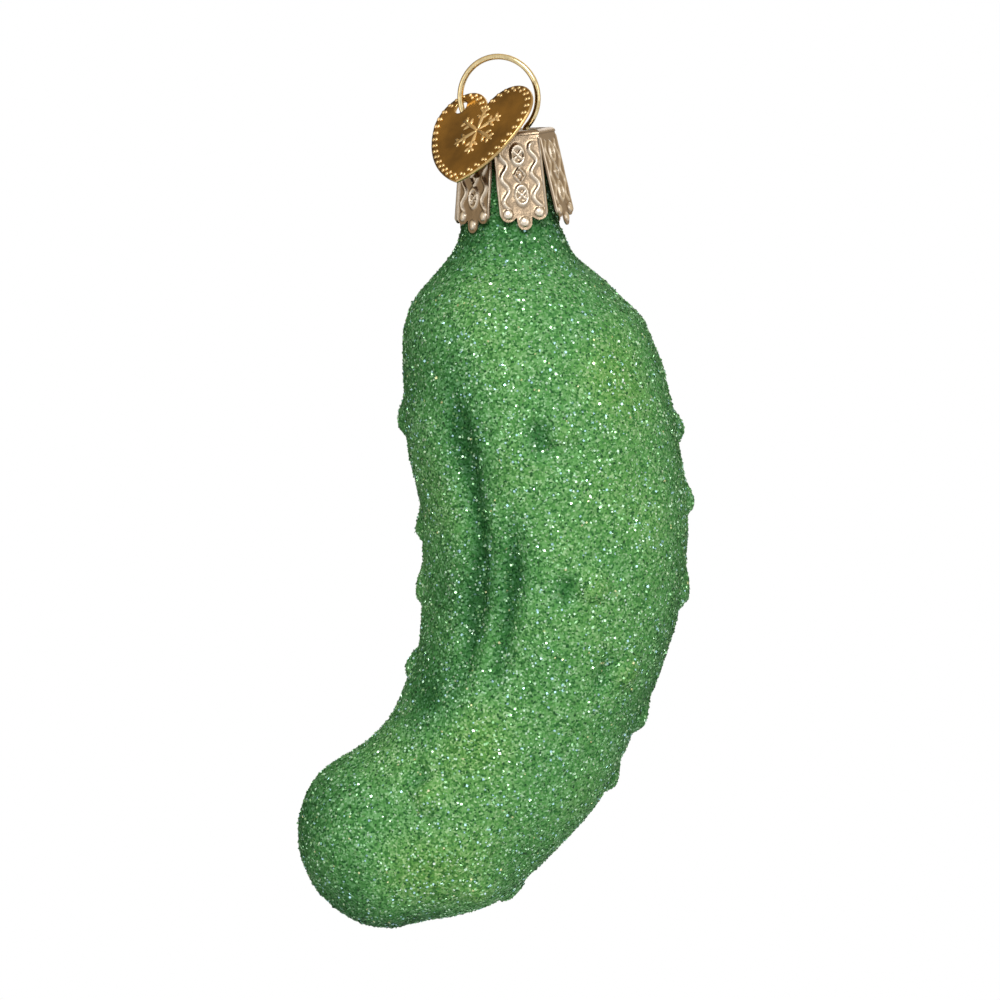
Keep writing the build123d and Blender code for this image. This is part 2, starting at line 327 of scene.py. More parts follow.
TAG_EDGE_PITCH = 0.28
TAG_STEP = 0.5  # between points of the plate
TAG_COLUMNS = 17  # of those points, on either side of the tip
TAG_ROWS = 31
TAG_CLEAR = 0.4  # from its edges to those points

# Stage, in metres, with places from the aim
FLOOR_R = 0.5
FLOOR_SIDES = 96
FLOOR_GLOW = 0.3  # added to the floor for the eye alone
KEY_PLACE = (0.08, -0.83, 0.58)
LAMP_SIZE = 0.5
# Fill lamps: name, place, size, share of the fill power
FILL_LAMPS = (
    ("fill right", (0.75, -0.55, 0.1), LAMP_SIZE, 1.0),
    ("fill left", (-0.8, -0.5, 0.05), 0.4, 0.5),
    ("fill back", (0.25, 0.9, 0.45), LAMP_SIZE, 1.0),
)
CARD_R = 1.6
CARD_ROWS = 12
CARD_AROUND = 48
CARD_SPAN = (105.0, 8.0)  # degrees off its middle, from its rim inwards


# Settings that a user would change

def length_setting(name, description, size, least=0.0):
    """A length, given in millimetres."""
    return FloatProperty(
        name=name, description=description, default=size * MM, min=least * MM, unit="LENGTH")


def colour_setting(name, description, colour):
    """A colour of a surface."""
    return FloatVectorProperty(
        name=name, description=description, default=colour, subtype="COLOR", min=0.0, max=1.0)


def angle_setting(name, description, degrees):
    """An angle, given in degrees."""
    return FloatProperty(name=name, description=description, default=radians(degrees), subtype="ANGLE")


def power_setting(name, description, watts):
    """Power of a lamp."""
    return FloatProperty(name=name, description=description, default=watts, min=0.0, unit="POWER")


class SkinSettings(bpy.types.PropertyGroup):
    """Form and colours of the glitter skin."""

    wart_height: length_setting("Wart height", "How far a wart stands out of the skin", 0.95)
    wart_reach: length_setting("Wart reach", "From the middle of a wart to its foot", 2.7, 0.1)
    lump_height: length_setting("Lump height", "Height of the broad uneven lumps of the body", 0.28)
    grain_height: length_setting("Grain height", "Roughness of the glitter, as one standard step", 0.035)
    dark_green: colour_setting("Dark green", "Darkest grains of the skin", (0.040, 0.165, 0.048))
    leaf_green: colour_setting("Leaf green", "Most grains of the skin", (0.142, 0.392, 0.107))
    pale_green: colour_setting("Pale green", "Lightest grains of the skin", (0.470, 0.725, 0.405))


class FlakeSettings(bpy.types.PropertyGroup):
    """Loose glitter flakes on the skin."""

    clear_count: IntProperty(
        name="Clear flakes", description="Number of bright clear flakes", default=13500, min=0)
    green_count: IntProperty(
        name="Green flakes", description="Number of green flakes", default=15500, min=0)
    flake_size: length_setting("Flake size", "Mean width of a flake", 0.23, 0.05)
    tilt: angle_setting("Tilt", "How far flakes lean off the skin", 26.0)
    seed: IntProperty(name="Seed", description="Which scatter of flakes is drawn", default=7, min=0)


class CapSettings(bpy.types.PropertyGroup):
    """Stamping and metal of the cap."""

    relief: length_setting("Relief", "Height of the stamped ornament", 0.27)
    metal: colour_setting("Metal", "Colour of the raised metal", (0.64, 0.56, 0.45))
    tarnish: colour_setting("Tarnish", "Colour of the metal in the recesses", (0.28, 0.21, 0.14))


class TagSettings(bpy.types.PropertyGroup):
    """Beads and gold of the heart tag."""

    bead_width: length_setting("Bead width", "Width of a bead of the border", 0.56, 0.1)
    gold: colour_setting("Gold", "Colour of the polished plate", (0.34, 0.175, 0.030))
    pale_gold: colour_setting("Pale gold", "Colour of the rubbed beads and edges", (0.78, 0.54, 0.25))


class FittingSettings(bpy.types.PropertyGroup):
    """Wire loop and bare glass."""

    wire_gold: colour_setting("Wire gold", "Colour of the hanger wire", (0.72, 0.58, 0.32))
    silver: colour_setting("Silver", "Colour of the silvered glass", (0.72, 0.75, 0.72))


class StageSettings(bpy.types.PropertyGroup):
    """Camera, lamps and floor."""

    lens: FloatProperty(
        name="Lens", description="Focal length of the camera", default=220.0, min=1.0, unit="CAMERA")
    frame_width: length_setting("Frame width", "Width of the picture at the ornament", 128.0, 1.0)
    elevation: angle_setting("Elevation", "Height of the camera above the horizon", 5.5)
    roll: angle_setting("Roll", "Turn of the camera about its own line of sight", 4.7)
    aim: FloatVectorProperty(
        name="Aim", description="Point at the middle of the picture",
        default=(-4.06 * MM, 0.0, -56.1 * MM), subtype="TRANSLATION", unit="LENGTH")
    floor_z: FloatProperty(
        name="Floor", description="Height of the floor under the hanging ornament",
        default=-250.0 * MM, unit="LENGTH")
    key_power: power_setting("Key lamp", "Power of the large soft lamp beside the camera", 7.2)
    fill_power: power_setting("Fill lamp", "Power of the soft lamps at the sides and behind", 1.2)
    ambient: FloatProperty(
        name="Ambient", description="Light that the white room adds to dull surfaces",
        default=0.16, min=0.0)


class OrnamentSettings(bpy.types.PropertyGroup):
    """All settings of the ornament."""

    skin: PointerProperty(type=SkinSettings)
    flakes: PointerProperty(type=FlakeSettings)
    cap: PointerProperty(type=CapSettings)
    tag: PointerProperty(type=TagSettings)
    fittings: PointerProperty(type=FittingSettings)
    stage: PointerProperty(type=StageSettings)


# Meshes

def new_piece(name, points, faces, material, crease=None):
    """A mesh object made of points in metres and faces, smooth but for edges past the crease."""
    mesh = bpy.data.meshes.new(name)
    mesh.from_pydata(np.asarray(points).tolist(), [], faces)
    mesh.shade_smooth()
    if crease is not None:
        mesh.set_sharp_from_angle(angle=radians(crease))
    mesh.materials.append(material)
    piece = bpy.data.objects.new(name, mesh)
    bpy.context.scene.collection.objects.link(piece)
    return piece


def store(piece, name, values, kind="FLOAT", field="value"):
    """A number or a colour for each point of a piece, for its material to read."""
    layer = piece.data.attributes.new(name, kind, "POINT")
    layer.data.foreach_set(field, np.asarray(values, dtype=np.float32).ravel())


def unit(vectors):
    """Vectors brought to length 1."""
    return vectors / np.linalg.norm(vectors, axis=-1, keepdims=True)


def band_faces(first, second, around, closed=True):
    """Quads between two rings, or two rows of points, that start at these indexes."""
    columns = range(around if closed else around - 1)
    return [
        (first + c, first + (c + 1) % around, second + (c + 1) % around, second + c)
        for c in columns
    ]


def shell_faces(rows, around, start, pole, flip=False):
    """Faces of one grid of rings that ends in a pole."""
    faces = []
    for row in range(rows - 1):
        faces += band_faces(start + row * around, start + (row + 1) * around, around)
    last = start + (rows - 1) * around
    faces += [(last + c, last + (c + 1) % around, pole) for c in range(around)]
    return [face[::-1] for face in faces] if flip else faces


def joined(parts):
    """Several meshes as one, each given by its points, its faces and a value for each point."""
    faces = []
    count = 0
    for part_points, part_faces, _ in parts:
        faces += [tuple(count + index for index in face) for face in part_faces]
        count += len(part_points)
    points, _, values = zip(*parts)
    return np.concatenate(points), faces, np.concatenate(values)


def noise_at(points, size):
    """Smooth noise from about -1 to 1 at each point, with lumps of this size."""
    flat = points.reshape(-1, 3) / size
    return np.array([noise.noise(Vector(point)) for point in flat]).reshape(points.shape[:-1])


def smooth_step(values, low, high):
    """0 below the low value, 1 above the high one, and smooth between."""
    share = np.clip((values - low) / (high - low), 0.0, 1.0)
    return share * share * (3 - 2 * share)


def between(values, start, end):
    """1 between two soft steps and 0 outside them."""
    return smooth_step(values, *start) * (1 - smooth_step(values, *end))


def circle(middle, radius, count):
    """Points of a circle, going round anticlockwise."""
    turn = np.linspace(0.0, 2 * pi, count, endpoint=False)
    return np.column_stack([middle[0] + radius * np.cos(turn), middle[1] + radius * np.sin(turn)])


def natural_spline(knots, values, at):
    """The smooth curve through the values at the knots, read at other places."""
    count = len(knots)
    gap = np.diff(knots)
    slope = np.diff(values) / gap
    matrix = np.eye(count)
    target = np.zeros(count)
    for i in range(1, count - 1):
        matrix[i, i - 1:i + 2] = gap[i - 1], 2 * (gap[i - 1] + gap[i]), gap[i]
        target[i] = 6 * (slope[i] - slope[i - 1])
    bend = np.linalg.solve(matrix, target)
    left = np.clip(np.searchsorted(knots, at) - 1, 0, count - 2)
    width = gap[left]
    a = (knots[left + 1] - at) / width
    b = 1 - a
    curve = (a ** 3 - a) * bend[left] + (b ** 3 - b) * bend[left + 1]
    return a * values[left] + b * values[left + 1] + curve * width ** 2 / 6


# The pickle's form

def body_stations():
    """Rows of the middle line: sideways, below the lip, half width, heading, run, depth ratio."""
    spine = [(0.0, COLLAR_LENGTH, NECK_R), *BODY]
    rows = []
    run = 0.0
    for index, (x, below, half_width) in enumerate(spine):
        before = spine[max(index - 1, 0)]
        after = spine[min(index + 1, len(spine) - 1)]
        run += np.hypot(x - before[0], below - before[1])
        heading = 0.0 if index < NECK_STATIONS else atan2(before[0] - after[0], after[1] - before[1])
        ratio = 1.0 if index < NECK_STATIONS else BODY_DEPTH
        rows.append([x, below, half_width, heading, run, ratio])
    turn = radians(TIP_HEADING)
    rows[-1][3] = turn
    end_x, end_below, end_r = spine[-1]
    for angle in np.radians(DOME_ANGLES):
        rise = end_r * sin(angle)
        x = end_x - rise * sin(turn)
        rows.append([x, end_below + rise * cos(turn), end_r * cos(angle), turn, run + rise, BODY_DEPTH])
    return np.array(rows)


def hollow_depth(run, angle):
    """How far the long hollows and dimples dip at places on the body."""
    total = 0.0
    for middle, half_length, at_angle, half_width, depth in HOLLOWS + DIMPLES:
        along = ((run - middle) / half_length) ** 4
        around = ((angle - at_angle) / half_width) ** 2
        total = total + depth * np.exp(-along - around)
    return total


class BodyGrid:
    """Grid of points over the pickle, in metres: rows from the neck to the blossom end."""

    def __init__(self, rows, around):
        stations = body_stations()
        steps = np.linalg.norm(np.diff(stations[:, :3], axis=0), axis=1)
        knots = np.concatenate([[0.0], np.cumsum(steps)])
        at = np.linspace(0.0, knots[-1], rows + 1)
        x, below, half, heading, run, ratio = [
            natural_spline(knots, column, at)[:, None] for column in stations.T
        ]
        angle = np.linspace(0.0, 360.0, around, endpoint=False)[None, :]
        dip = hollow_depth(run, angle)
        side = (half - dip) * np.cos(np.radians(angle))
        front = (half * ratio - dip) * np.sin(np.radians(angle))
        place_x = x + side * np.cos(heading)
        place_z = LIP_Z / MM - below - side * np.sin(heading)
        points = np.stack([place_x, -front, place_z], axis=-1) * MM
        self.run = np.repeat(run[:-1], around, axis=1)
        self.angle = np.repeat(angle, rows, axis=0)
        self.dip = dip[:-1]
        self.points = points[:-1]
        self.pole = points[-1].mean(axis=0)
        along = np.gradient(points, axis=0)[:-1]
        across = np.roll(self.points, -1, axis=1) - np.roll(self.points, 1, axis=1)
        self.normals = unit(np.cross(across, along))
        turn = radians(TIP_HEADING)
        self.pole_normal = np.array([-sin(turn), 0.0, -cos(turn)])

    def row_at(self, run):
        """Index of the row nearest to a run."""
        return int(np.argmin(np.abs(self.run[:, 0] - run)))

    def spot(self, run, angle, reach, above, below):
        """A spot at a run and an angle, 1 at its middle, with its own length up and down the body."""
        around = self.points.shape[1]
        row = self.row_at(run)
        column = int(round(angle / 360.0 * around)) % around
        away = self.points - self.points[row, column]
        onward = self.points[row + 1, column] - self.points[row - 1, column]
        along = away @ unit(onward)
        across = (away ** 2).sum(axis=-1) - along ** 2
        length = np.where(along < 0, above, below) * reach
        return np.clip(1 - (along / length) ** 2 - across / reach ** 2, 0.0, 1.0) ** SPOT_POWER

    def drawn_in(self, inset, sink):
        """Points of the grid and its pole, drawn in along the normals, and further on the body."""
        depth = (inset + sink * smooth_step(self.run, *SINK_RUN))[..., None] * MM
        return self.points - self.normals * depth, self.pole - self.pole_normal * np.max(depth)


def skin_relief(grid, settings, draw):
    """Height of warts and lumps over the grid, in metres, and how pale the paint, with its painted light and
    shade, is at each place.
    """
    bumps = np.zeros(grid.points.shape[:-1])
    for run, angle in WARTS:
        reach = settings.wart_reach * draw.uniform(*WART_SPREAD)
        bumps = np.maximum(bumps, grid.spot(run, angle, reach, WART_ABOVE, WART_BELOW))
    fade = smooth_step(grid.run, *FADE_RUN)
    broad = noise_at(grid.points, BROAD_LUMP * MM)
    small = noise_at(grid.points, SMALL_LUMP * MM)
    lumps = settings.lump_height * fade * (broad + SMALL_SHARE * small)
    height = np.maximum(settings.wart_height * bumps + lumps, -COAT * MM)
    # Front and back paler and the sides darker: painted shade of the sides
    stripe = np.cos(2 * np.radians(grid.angle - PALE_STRIPE))
    left = between(grid.angle, *LEFT_ANGLES)
    right = 1 - smooth_step(np.minimum(grid.angle, 360.0 - grid.angle), *RIGHT_ANGLE)
    # Paler clouds on the broad lumps: partly uneven paint and partly a painted highlight
    paint = PAINT_LEVEL + (STRIPE_PAINT * stripe + CLOUD_PAINT * broad) * fade
    # Warts paler as a painted highlight, and hollows darker, partly darker paint and partly painted shade
    paint += WART_PAINT * bumps - HOLLOW_PAINT * grid.dip
    # The neck darker next to the cap: partly darker paint and partly painted shade
    paint -= NECK_PAINT * (1 - smooth_step(grid.run, *NECK_RUN))
    # The blossom end darker: a painted shade of its underside
    paint -= TIP_PAINT * smooth_step(grid.run, *TIP_RUN)
    # The right-hand side darker: a painted shade of the side turned away from the light
    paint -= RIGHT_PAINT * right
    # The upper left darker: partly a dark sprayed stripe and partly painted shade
    paint -= UPPER_LEFT_PAINT * left * (1 - smooth_step(grid.run, *UPPER_RUN))
    # The inner curl darker: a painted shade of the hollow curve
    paint -= VALLEY_PAINT * left * between(grid.run, *VALLEY_RUNS)
    # Paler and darker patches: partly uneven paint and partly painted light and shade
    for run, angle, change in SPRAY_PATCHES:
        paint += change * grid.spot(run, angle, SPRAY_REACH * MM, SPRAY_STRETCH, SPRAY_STRETCH)
    return height, np.clip(paint, 0.0, 1.0)


# Materials

def new_material(name):
    """A node material, its tree and its shader."""
    material = bpy.data.materials.new(name)
    material.use_nodes = True
    return material, material.node_tree, material.node_tree.nodes["Principled BSDF"]


def put(tree, socket, value):
    """Links a socket to another, or sets its value."""
    if isinstance(value, bpy.types.NodeSocket):
        tree.links.new(value, socket)
    elif socket.type == "RGBA":
        socket.default_value = (*value, 1.0)
    else:
        socket.default_value = value


def fill(tree, made, **inputs):
    """Fills in inputs of a node by their names, with _ for a space."""
    for name, value in inputs.items():
        put(tree, made.inputs[name.replace("_", " ")], value)


def add_node(tree, kind, output, settings=(), **inputs):
    """Adds a node, fills in its inputs and returns the named output."""
    made = tree.nodes.new("ShaderNode" + kind)
    for name, value in dict(settings).items():
        setattr(made, name, value)
    fill(tree, made, **inputs)
    return made.outputs[output]


def worked_out(tree, operation, *values, kind="VectorMath", output="Vector"):
    """Result of an operation on vectors, or on numbers with kind Math."""
    result = add_node(tree, kind, output, {"operation": operation})
    for socket, value in zip(result.node.inputs, values):
        put(tree, socket, value)
    return result


def stored(tree, name, output="Fac"):
    """What is stored under a name for each point of the piece."""
    return add_node(tree, "Attribute", output, {"attribute_name": name})


def object_place(tree):
    """Coordinates on the piece itself, in metres."""
    return add_node(tree, "TexCoord", "Object")


def noise_value(tree, size, detail=3.0, place=None):
    """Noise from 0 to 1 with grains of this size in metres."""
    place = place or object_place(tree)
    return add_node(
        tree, "TexNoise", "Fac", Vector=place, Scale=1 / size, Detail=detail, Roughness=0.55)


def colour_ramp(tree, value, *stops):
    """Colours read along a value, from (position, colour) pairs."""
    colours = add_node(tree, "ValToRGB", "Color", Fac=value)
    band = colours.node.color_ramp.elements
    while len(band) < len(stops):
        band.new(0.5)
    for element, (position, colour) in zip(band, stops):
        element.position = position
        element.color = (*colour, 1.0)
    return colours


def value_range(tree, value, low, high):
    """A value from 0 to 1 spread between two limits."""
    return add_node(tree, "MapRange", "Result", Value=value, To_Min=low, To_Max=high)


def mixed_colour(tree, first, second, factor=1.0, mode="MULTIPLY"):
    """Two colours multiplied, or mixed by a factor."""
    made = tree.nodes.new("ShaderNodeMix")
    made.data_type = "RGBA"
    made.blend_type = mode
    for index, value in ((0, factor), (6, first), (7, second)):
        put(tree, made.inputs[index], value)
    return made.outputs[2]


def blend(first, second, share):
    """A colour between two others, by the share of the second."""
    return tuple((1 - share) * a + share * b for a, b in zip(first, second))


def bump(tree, height, distance, strength):
    """Surface normals roughened by a height."""
    return add_node(tree, "Bump", "Normal", Height=height, Distance=distance, Strength=strength)


def faceted_normal(tree, cells, lean):
    """Surface normals that lean another way in each cell, as grains of glitter do."""
    centred = worked_out(tree, "SUBTRACT", cells, (0.5, 0.5, 0.5))
    leaning = worked_out(tree, "MULTIPLY", centred, (lean, lean, lean))
    added = worked_out(tree, "ADD", add_node(tree, "NewGeometry", "Normal"), leaning)
    return worked_out(tree, "NORMALIZE", added)


def glitter_skin_material(settings):
    """Green lacquer full of fine glitter grains, tinted by the stored paint with its painted light and shade.
    """
    material, tree, shader = new_material("glitter skin")
    cells = add_node(tree, "TexVoronoi", "Color", Vector=object_place(tree), Scale=1 / (0.25 * MM))
    split = add_node(tree, "SeparateColor", "Red", Color=cells).node
    dark, leaf, pale = settings.dark_green, settings.leaf_green, settings.pale_green
    grains = colour_ramp(
        tree, split.outputs["Red"],
        (0.0, dark), (0.2, blend(dark, leaf, 0.5)), (0.5, leaf), (0.86, blend(leaf, pale, 0.35)), (1.0, pale))
    # The tint turns painted shade dark and bluish and painted light pale and yellowish
    tint = colour_ramp(
        tree, stored(tree, "paint"),
        (0.0, (0.20, 0.33, 0.28)),
        (0.1, (0.36, 0.53, 0.47)),
        (0.45, (0.78, 0.90, 0.84)),
        (0.75, (1.0, 1.0, 0.88)),
        (1.0, (1.0, 0.98, 0.74)))
    fill(
        tree, shader,
        Base_Color=mixed_colour(tree, grains, tint),
        Roughness=value_range(tree, split.outputs["Green"], 0.3, 0.62),
        Specular_IOR_Level=0.03,
        Normal=faceted_normal(tree, cells, 0.7))
    return material


def flake_material(name, roughness, metallic):
    """Glitter flakes, each of its own colour, a little cloudy."""
    material, tree, shader = new_material(name)
    cloud = noise_value(tree, 0.12 * MM, 2.0)
    shade = colour_ramp(tree, cloud, (0.2, (0.78, 0.8, 0.78)), (0.7, WHITE))
    fill(
        tree, shader,
        Base_Color=mixed_colour(tree, stored(tree, "flake_colour", "Color"), shade),
        Roughness=value_range(tree, cloud, roughness, roughness + 0.15),
        Metallic=metallic,
        Specular_IOR_Level=0.15,
        Specular_Tint=FLAKE_SHEEN)
    return material


def cap_material(settings):
    """Stamped champagne metal, browner in the recesses and rubbed bright on the relief."""
    material, tree, shader = new_material("cap metal")
    stain = noise_value(tree, 1.6 * MM, 4.0)
    uneven = value_range(tree, stain, -0.3, 0.3)
    worn = worked_out(tree, "ADD", stored(tree, "relief"), uneven, kind="Math", output="Value")
    metal, tarnish = settings.metal, settings.tarnish
    fill(
        tree, shader,
        Base_Color=colour_ramp(tree, worn, (0.05, tarnish), (0.5, blend(tarnish, metal, 0.5)), (0.9, metal)),
        Metallic=1.0,
        Roughness=value_range(tree, stain, 0.18, 0.42),
        Normal=bump(tree, noise_value(tree, 0.5 * MM), 0.05 * MM, 0.6))
    return material


def gold_material(settings):
    """Polished gold plate with faint rubbing marks."""
    material, tree, shader = new_material("tag gold")
    haze = noise_value(tree, 4.5 * MM)
    colour = mixed_colour(tree, settings.gold, settings.pale_gold, stored(tree, "raised"), "MIX")
    shade = colour_ramp(tree, haze, (0.32, (0.52, 0.52, 0.50)), (0.66, WHITE))
    streaked = add_node(tree, "Mapping", "Vector", Vector=object_place(tree), Scale=(1.0, 6.0, 1.0))
    marks = noise_value(tree, 0.9 * MM, 2.0, streaked)
    fill(
        tree, shader,
        Base_Color=mixed_colour(tree, colour, shade),
        Metallic=1.0,
        Roughness=value_range(tree, haze, 0.1, 0.24),
        Normal=bump(tree, marks, 0.02 * MM, 0.25))
    return material


def wire_material(settings):
    """Bright drawn wire with fine streaks."""
    material, tree, shader = new_material("hanger wire")
    streaks = noise_value(tree, 0.35 * MM)
    gold = settings.wire_gold
    fill(
        tree, shader,
        Base_Color=colour_ramp(tree, streaks, (0.3, blend(BLACK, gold, 0.72)), (0.65, gold)),
        Metallic=1.0,
        Roughness=value_range(tree, streaks, 0.08, 0.18),
        Normal=bump(tree, streaks, 0.006 * MM, 0.2))
    return material


def glass_material(settings):
    """Glass silvered on its inside, with faint bubbles and a little silver worn off."""
    material, tree, shader = new_material("silvered glass")
    film = noise_value(tree, 1.2 * MM, 4.0)
    silver = settings.silver
    fill(
        tree, shader,
        Base_Color=colour_ramp(tree, film, (0.3, blend(BLACK, silver, 0.7)), (0.6, silver)),
        Metallic=0.85,
        Roughness=value_range(tree, film, 0.06, 0.2),
        Coat_Weight=1.0,
        Coat_Roughness=0.04,
        Normal=bump(tree, film, 0.02 * MM, 0.3))
    return material


# Glass, skin and flakes

class ORNAMENT_OT_glass(bpy.types.Operator):
    """Blow the hollow glass with its open neck"""

    bl_idname = "ornament.glass"
    bl_label = "Glass"

    def execute(self, context):
        grid = BodyGrid(GLASS_ROWS, GLASS_AROUND)
        outside, outer_pole = grid.drawn_in(GLASS_INSET, GLASS_SINK)
        inside, inner_pole = grid.drawn_in(GLASS_INSET + WALL, GLASS_SINK)
        below = (LIP_Z - grid.points[:, :, 2].max(axis=1)) / MM
        first_inside = int(np.argmax(below > BORE_LENGTH))
        neck = []
        for radius, depth in NECK_RINGS:
            ring = circle((0.0, 0.0), radius, GLASS_AROUND) * (1.0, -1.0)
            neck.append(np.column_stack([ring, np.full(GLASS_AROUND, LIP_Z / MM - depth)]) * MM)
        rings = [*inside[:first_inside - 1:-1], *neck, *outside]
        points = np.concatenate([*rings, [outer_pole], [inner_pole]])
        outer, inner = len(points) - 2, len(points) - 1
        faces = shell_faces(len(rings), GLASS_AROUND, 0, outer)
        faces += [((c + 1) % GLASS_AROUND, c, inner) for c in range(GLASS_AROUND)]
        material = glass_material(context.scene.ornament.fittings)
        glass = new_piece("blown_glass", points, faces, material, crease=50.0)
        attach(glass, "glass")
        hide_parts("glass_shell")
        return {"FINISHED"}


class ORNAMENT_OT_skin(bpy.types.Operator):
    """Lay the glitter skin with its warts and hollows over the glass"""

    bl_idname = "ornament.skin"
    bl_label = "Glitter skin"

    def execute(self, context):
        settings = context.scene.ornament.skin
        draw = np.random.default_rng(SKIN_SEED)
        grid = BodyGrid(SKIN_ROWS, SKIN_AROUND)
        height, paint = skin_relief(grid, settings, draw)
        grain = draw.normal(0.0, settings.grain_height, height.shape)
        outside = grid.points + grid.normals * (height + grain)[..., None]
        chosen = np.linspace(0, SKIN_ROWS - 1, LINING_ROWS).astype(int)
        for middle, half_length, *_ in DIMPLES:
            beside = middle + half_length * np.linspace(-1.0, 1.0, DIMPLE_ROWS)
            chosen = np.union1d(chosen, [grid.row_at(run) for run in beside])
        lining, lining_pole = grid.drawn_in(COAT, LINING_SINK)
        points = np.concatenate([
            outside.reshape(-1, 3),
            [grid.pole],
            lining[chosen].reshape(-1, 3),
            [lining_pole],
        ])
        pole = SKIN_ROWS * SKIN_AROUND
        start = pole + 1
        faces = shell_faces(SKIN_ROWS, SKIN_AROUND, 0, pole)
        faces += shell_faces(len(chosen), SKIN_AROUND, start, len(points) - 1, flip=True)
        faces += band_faces(start, 0, SKIN_AROUND)
        skin = new_piece("glitter_skin", points, faces, glitter_skin_material(settings))
        unseen = np.full(len(points) - pole, PAINT_LEVEL)
        store(skin, "paint", np.concatenate([paint.ravel(), unseen]))
        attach(skin, "glass")
        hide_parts("glitter_coat")
        return {"FINISHED"}


class ORNAMENT_OT_flakes(bpy.types.Operator):
    """Strew loose glitter flakes over the skin"""

    bl_idname = "ornament.flakes"
    bl_label = "Glitter flakes"

    def execute(self, context):
        settings = context.scene.ornament.flakes
        draw = np.random.default_rng(settings.seed)
        self.read_skin(bpy.data.objects["glitter_skin"].data)
        clear = flake_material("clear flakes", roughness=0.14, metallic=0.55)
        green = flake_material("green flakes", roughness=0.28, metallic=0.1)
        self.strew("clear_flakes", settings, settings.clear_count, CLEAR_COLOURS, clear, draw)
        self.strew("green_flakes", settings, settings.green_count, GREEN_COLOURS, green, draw)
        return {"FINISHED"}

    def read_skin(self, skin):
        """Keeps the corners, sides, normals and the paint, with its painted light and shade, of the skin's
        outside, and each cell's share of it.
        """
        shape = (SKIN_ROWS, SKIN_AROUND)
        corners = np.array([v.co for v in skin.vertices])[:SKIN_ROWS * SKIN_AROUND]
        self.corners = corners.reshape(*shape, 3)
        self.down = self.corners[1:] - self.corners[:-1]
        self.over = np.roll(self.corners, -1, axis=1) - self.corners
        cross = np.cross(self.over[:-1], self.down)
        area = np.linalg.norm(cross, axis=-1)
        self.normals = cross / area[..., None]
        self.chance = (area / area.sum()).ravel()
        paint = np.zeros(len(skin.vertices), dtype=np.float32)
        skin.attributes["paint"].data.foreach_get("value", paint)
        self.paint = paint[:SKIN_ROWS * SKIN_AROUND].reshape(shape)

    def strew(self, name, settings, count, colours, material, draw):
        """Scatters one kind of flake as thin closed squares, each with its own lean and colour."""
        picked = draw.choice(len(self.chance), count, p=self.chance)
        cell = np.unravel_index(picked, self.normals.shape[:2])
        share = draw.random((count, 2, 1))
        middle = self.corners[cell] + share[:, 0] * self.down[cell] + share[:, 1] * self.over[cell]
        lean = draw.normal(0.0, tan(settings.tilt) / LEAN_STEPS, (count, 3))
        normal = unit(self.normals[cell] + lean)
        first = unit(np.cross(normal, draw.normal(size=(count, 3))))
        second = np.cross(normal, first)
        half = settings.flake_size / 2 * draw.uniform(*FLAKE_SPREAD, (count, 1))
        thick = FLAKE_HALF_THICKNESS * MM
        middle = middle + self.normals[cell] * draw.uniform(0.0, FLAKE_LIFT, (count, 1)) * MM
        points = np.stack([
            middle + a * half * first + b * half * second + c * thick * normal
            for a, b, c in FLAKE_CORNERS
        ], axis=1)
        starts = np.arange(count)[:, None, None] * len(FLAKE_CORNERS)
        faces = (starts + np.array(FLAKE_SIDES)[None]).reshape(-1, 4).tolist()
        flakes = new_piece(name, points.reshape(-1, 3), faces, material, crease=30.0)
        kinds = draw.choice(len(colours), count, p=[share for share, _ in colours])
        palette = np.array([colour for _, colour in colours])
        shades = palette[kinds] * draw.uniform(*FLAKE_SHADES, (count, 1))
        # Each flake takes on the paint and the painted light and shade of the skin under it
        shades *= (FLAKE_PAINT[0] + FLAKE_PAINT[1] * self.paint[cell])[:, None]
        opaque = np.column_stack([np.clip(shades, 0.0, 1.0), np.ones(count)])
        opaque = np.repeat(opaque, len(FLAKE_CORNERS), axis=0)
        store(flakes, "flake_colour", opaque, "FLOAT_COLOR", "color")
        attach(flakes, "glass")


# Plates, for the cap's top and the tag

def inside_outline(points, outline):
    """Which points lie inside a closed outline."""
    inside = np.zeros(len(points), dtype=bool)
    x, y = points.T
    for (x0, y0), (x1, y1) in zip(outline, np.roll(outline, -1, axis=0)):
        crosses = (y0 > y) != (y1 > y)
        if y0 != y1:
            inside ^= crosses & (x < x0 + (y - y0) / (y1 - y0) * (x1 - x0))
    return inside


def plate_triangles(loops, inner_points):
    """Points and triangles of a flat plate: the first loop is its outline and the others are holes."""
    points = []
    edges = []
    for loop in loops:
        start = len(points)
        points += [Vector(p) for p in loop]
        edges += [(start + i, start + (i + 1) % len(loop)) for i in range(len(loop))]
    points += [Vector(p) for p in inner_points]
    made = geometry.delaunay_2d_cdt(points, edges, [], 0, SAME_POINT)
    flat = np.array([tuple(p) for p in made[0]])
    triangles = np.array(made[2])
    middles = flat[triangles].mean(axis=1)
    keep = inside_outline(middles, loops[0])
    for hole in loops[1:]:
        keep &= ~inside_outline(middles, hole)
    return flat, triangles[keep].tolist()


def closed_plate(flat, triangles, top, bottom):
    """Closed mesh of a plate from its flat points, its triangles and the heights of its two sides."""
    count = len(flat)
    points = np.concatenate([np.column_stack([flat, top]), np.column_stack([flat, bottom])])
    faces = [tuple(t) for t in triangles]
    faces += [(c + count, b + count, a + count) for a, b, c in triangles]
    edges = [edge for a, b, c in triangles for edge in ((a, b), (b, c), (c, a))]
    opposite = {(b, a) for a, b in edges}
    faces += [(b, a, a + count, b + count) for a, b in edges if (a, b) not in opposite]
    used = sorted({index for face in faces for index in face})
    place = {old: new for new, old in enumerate(used)}
    return points[used], [tuple(place[index] for index in face) for face in faces]


# Cap

def ridge(distance, width):
    """A rounded ridge, 1 along its middle."""
    return np.exp(-(distance / width) ** 2)


